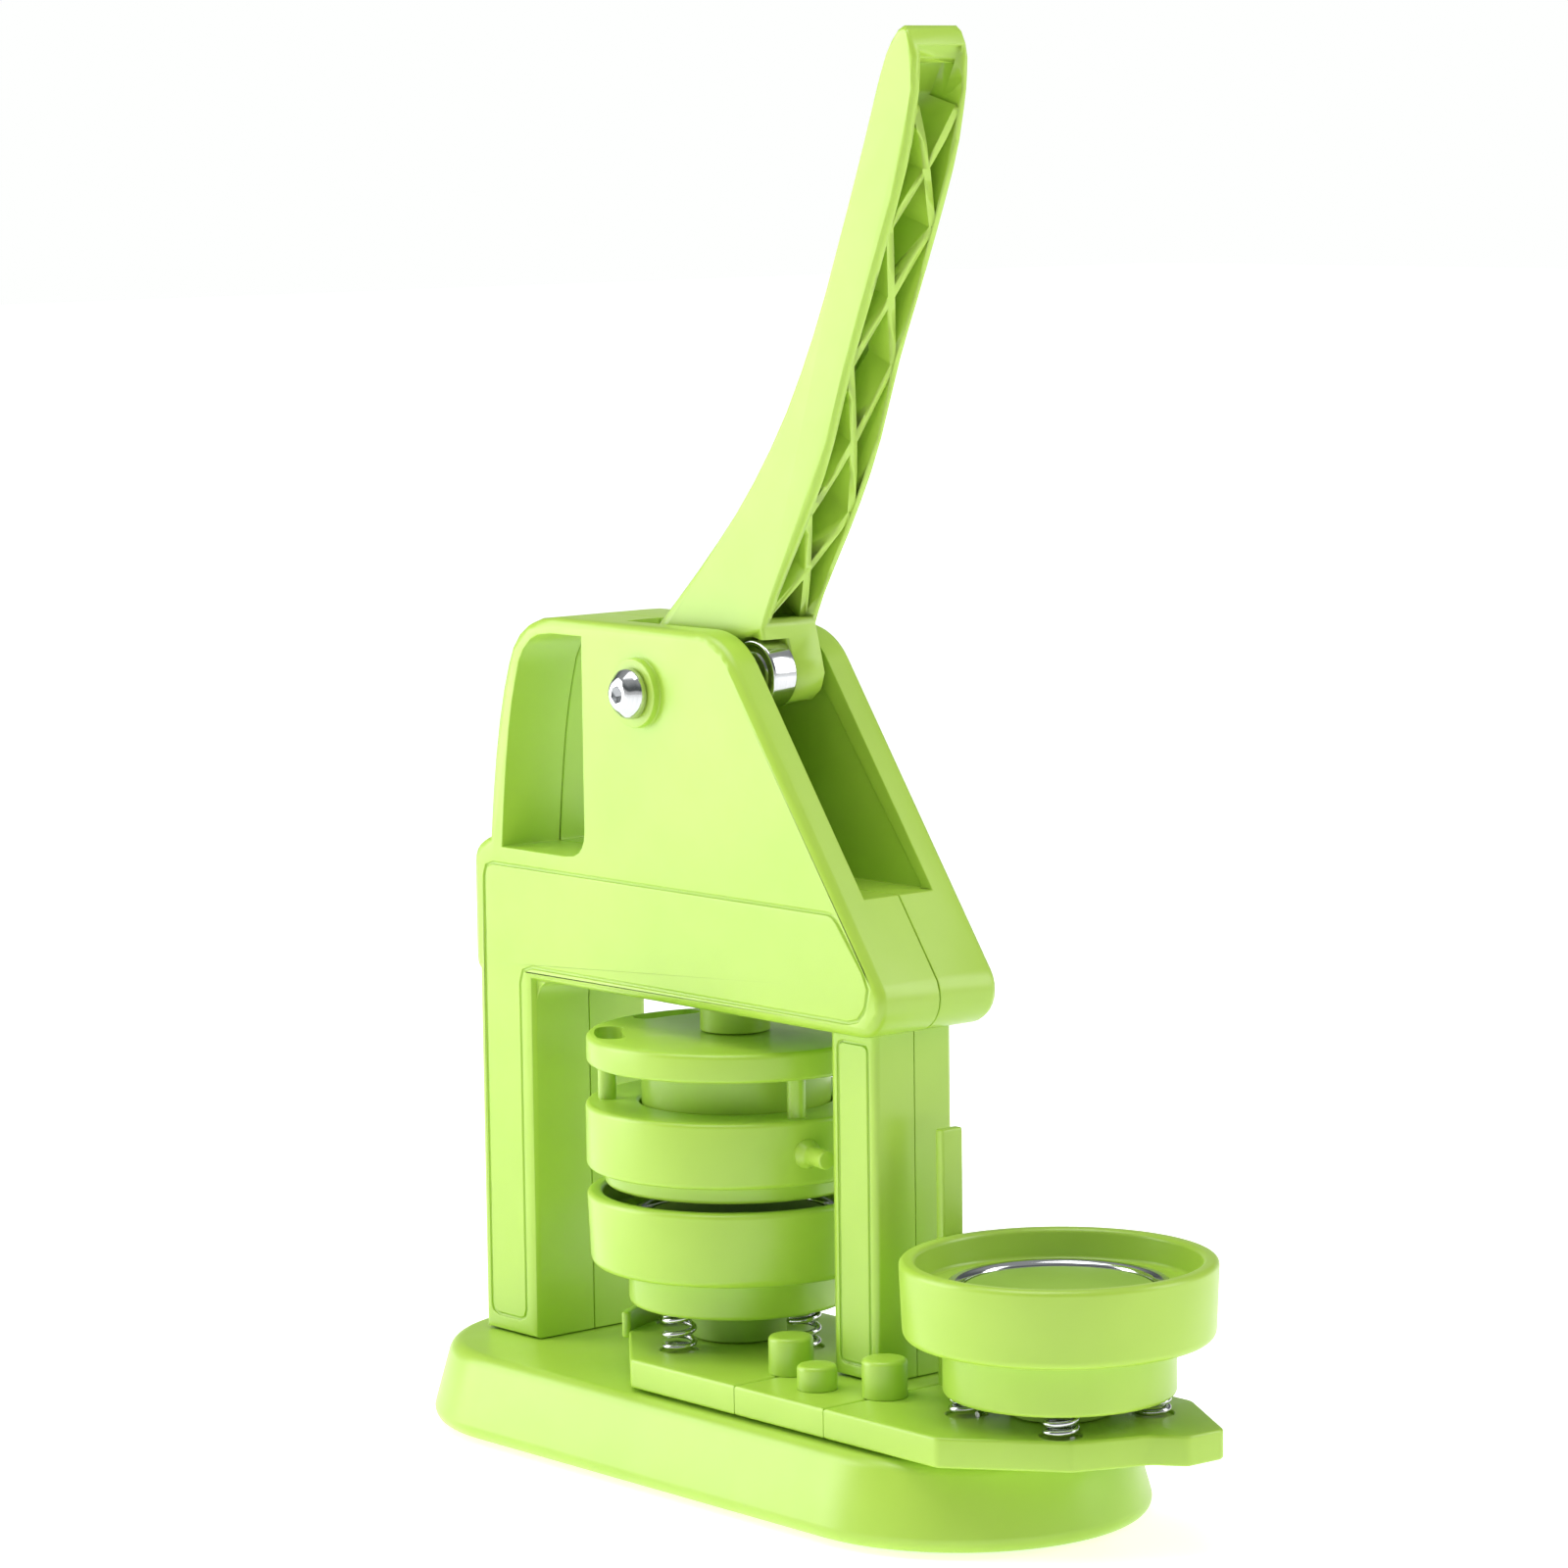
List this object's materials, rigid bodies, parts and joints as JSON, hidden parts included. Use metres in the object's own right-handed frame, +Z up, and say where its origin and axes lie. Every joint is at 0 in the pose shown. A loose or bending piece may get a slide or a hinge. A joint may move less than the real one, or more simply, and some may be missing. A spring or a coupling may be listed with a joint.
{
  "type": "button badge maker",
  "caption": "Hand lever press for round pin badges, with a sprung upper die and two sprung lower dies on a swinging plate.",
  "frame": {"origin": "middle of the underside of the anti-slip pad, on the table, midway between the base's ends", "axes": "+Z up out of the table; +X along the base towards the free lower die; -Y is the front, the side the operator faces"},
  "size_m": [0.275, 0.101, 0.3858],
  "materials": {
    "green_moulding": "glossy moulded lime green",
    "deep_green_moulding": "glossy moulded green",
    "nylon": "natural nylon",
    "bright_steel": "bright plated steel",
    "zinc_steel": "zinc plated",
    "black_rubber": "matte black rubber"
  },
  "bodies": {
    "stand": {"base_shell": "green_moulding", "base_bottom_plate": "deep_green_moulding", "anti_slip_pad": "black_rubber", "swivel_pin": "zinc_steel", "frame_front_shell": "green_moulding", "frame_rear_shell": "green_moulding", "pivot_bolt": "bright_steel", "pivot_nut": "bright_steel", "ram_guide": "nylon", "bottom_screw_1": "zinc_steel", "bottom_screw_2": "zinc_steel", "bottom_screw_3": "zinc_steel", "bottom_screw_4": "zinc_steel", "frame_screw_1": "zinc_steel", "frame_screw_2": "zinc_steel", "frame_screw_3": "zinc_steel", "frame_screw_4": "zinc_steel", "frame_screw_5": "zinc_steel", "frame_screw_6": "zinc_steel", "leg_screw_1": "zinc_steel", "leg_screw_2": "zinc_steel"},
    "lever": {"lever_arm": "green_moulding", "lever_bush": "zinc_steel", "roller_pin": "zinc_steel"},
    "roller": {"roller": "bright_steel"},
    "ram": {"ram_plunger": "green_moulding", "ram_wear_disc": "zinc_steel", "ram_return_spring": "bright_steel", "upper_die_disc": "green_moulding", "upper_die_core": "deep_green_moulding", "upper_die_screw": "zinc_steel"},
    "ring_seat": {"ring_thrust_washer": "zinc_steel", "ring_spring": "bright_steel"},
    "ring": {"crimp_ring": "green_moulding"},
    "swivel": {"swivel_hub_plate": "green_moulding", "carrier_a": "green_moulding", "carrier_b": "green_moulding", "lock_peg_a": "green_moulding", "lock_peg_b": "green_moulding", "centre_peg": "green_moulding", "toggle_bar": "green_moulding", "die_core_a": "deep_green_moulding", "die_core_b": "deep_green_moulding", "die_ring_a": "bright_steel", "die_ring_b": "bright_steel", "die_screw_a": "zinc_steel", "die_screw_b": "zinc_steel", "die_spring_a1": "bright_steel", "die_spring_a2": "bright_steel", "die_spring_a3": "bright_steel", "die_spring_a4": "bright_steel", "die_spring_b1": "bright_steel", "die_spring_b2": "bright_steel", "die_spring_b3": "bright_steel", "die_spring_b4": "bright_steel"},
    "cup_a": {"cup_a": "green_moulding"},
    "cup_b": {"cup_b": "green_moulding"}
  },
  "joints": [
    {"name": "lever_hinge", "type": "hinge", "parent": "stand", "child": "lever", "pos_m": [-0.0305, 0, 0.21], "axis": [0, 1, 0], "range_deg": [0, 60], "stiffness_Nm_per_rad": 0.05, "springref_deg": -91.67},
    {"name": "roller_spin", "type": "hinge", "parent": "lever", "child": "roller", "pos_m": [0.0038, 0, 0.2163], "axis": [0, 1, 0], "continuous": true},
    {"name": "ram_slide", "type": "slide", "parent": "stand", "child": "ram", "axis": [0, 0, -1], "range_m": [0, 0.011], "stiffness_N_per_m": 100, "springref_m": -0.012, "deforming": ["ram_return_spring"]},
    {"name": "ring_seat_slide", "type": "slide", "parent": "ram", "child": "ring_seat", "axis": [0, 0, 1], "range_m": [0, 0.0049], "stiffness_N_per_m": 100, "springref_m": -0.008, "deforming": ["ring_spring"]},
    {"name": "ring_turn", "type": "hinge", "parent": "ring_seat", "child": "ring", "pos_m": [-0.0165, 0, 0.0897], "axis": [0, 0, 1], "range_deg": [0, 40]},
    {"name": "swivel_turn", "type": "hinge", "parent": "stand", "child": "swivel", "pos_m": [0.047, 0, 0.029], "axis": [0, 0, 1], "range_deg": [0, 180]},
    {"name": "cup_a_slide", "type": "slide", "parent": "swivel", "child": "cup_a", "axis": [0, 0, -1], "range_m": [0, 0.008], "stiffness_N_per_m": 9000, "springref_m": -0.002, "deforming": ["die_spring_a1", "die_spring_a2", "die_spring_a3", "die_spring_a4"]},
    {"name": "cup_b_slide", "type": "slide", "parent": "swivel", "child": "cup_b", "axis": [0, 0, -1], "range_m": [0, 0.005], "stiffness_N_per_m": 12000, "springref_m": -0.002, "deforming": ["die_spring_b1", "die_spring_b2", "die_spring_b3", "die_spring_b4"]}
  ],
  "couplings": [
    {"joint": "ram_slide", "follows": "lever_hinge", "m_per_rad": 0.010504},
    {"joint": "ring_seat_slide", "follows": "lever_hinge", "m_per_rad": 0.004679}
  ]
}
